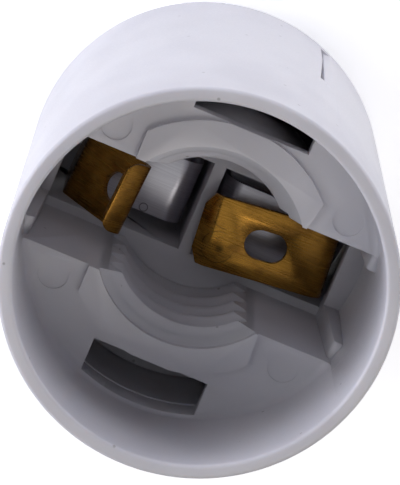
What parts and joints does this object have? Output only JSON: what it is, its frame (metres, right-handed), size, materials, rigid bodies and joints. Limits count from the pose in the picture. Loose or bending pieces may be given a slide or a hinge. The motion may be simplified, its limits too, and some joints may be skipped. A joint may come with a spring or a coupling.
{
  "type": "screw lamp holder",
  "caption": "Pale plastic E14 lamp holder: plain cylindrical casing with a deep skirt, moulded screw thread and two sprung brass contacts over push-in wire clamps.",
  "frame": {"origin": "centre of the rear face", "axes": "+Z along the axis, out of the mouth; +X along the contact slot, towards the centre contact's root; +Y across the slot"},
  "size_m": [0.028, 0.028, 0.037],
  "materials": {
    "casing_plastic": "satin moulded thermoplastic, pale grey",
    "cover_plastic": "satin moulded thermoplastic, pale grey",
    "contact_brass": "rolled and stamped, bright",
    "spring_steel": "rolled stainless spring strip, bright"
  },
  "bodies": {
    "holder": {"housing": "casing_plastic", "rear_cover": "cover_plastic"},
    "centre_leaf": {"centre_contact": "contact_brass"},
    "side_leaf": {"side_contact": "contact_brass"},
    "centre_wire_spring": {"centre_clamp": "spring_steel"},
    "side_wire_spring": {"side_clamp": "spring_steel"}
  },
  "joints": [
    {"name": "centre_contact_press", "type": "hinge", "parent": "holder", "child": "centre_leaf", "pos_m": [0.0103, 0, 0.0126], "axis": [0.0958, -0.9954, 0], "range_deg": [0, 4], "stiffness_Nm_per_rad": 0.05},
    {"name": "side_contact_press", "type": "hinge", "parent": "holder", "child": "side_leaf", "pos_m": [-0.01004, 0, 0.0094], "axis": [-0.0523, -0.9986, 0], "range_deg": [0, 10], "stiffness_Nm_per_rad": 0.05},
    {"name": "centre_clamp_press", "type": "hinge", "parent": "holder", "child": "centre_wire_spring", "pos_m": [0.0022, 0, 0.0094], "axis": [0, -1, 0], "range_deg": [0, 10], "stiffness_Nm_per_rad": 0.05},
    {"name": "side_clamp_press", "type": "hinge", "parent": "holder", "child": "side_wire_spring", "pos_m": [-0.0022, 0, 0.0094], "axis": [0, 1, 0], "range_deg": [0, 10], "stiffness_Nm_per_rad": 0.05}
  ]
}
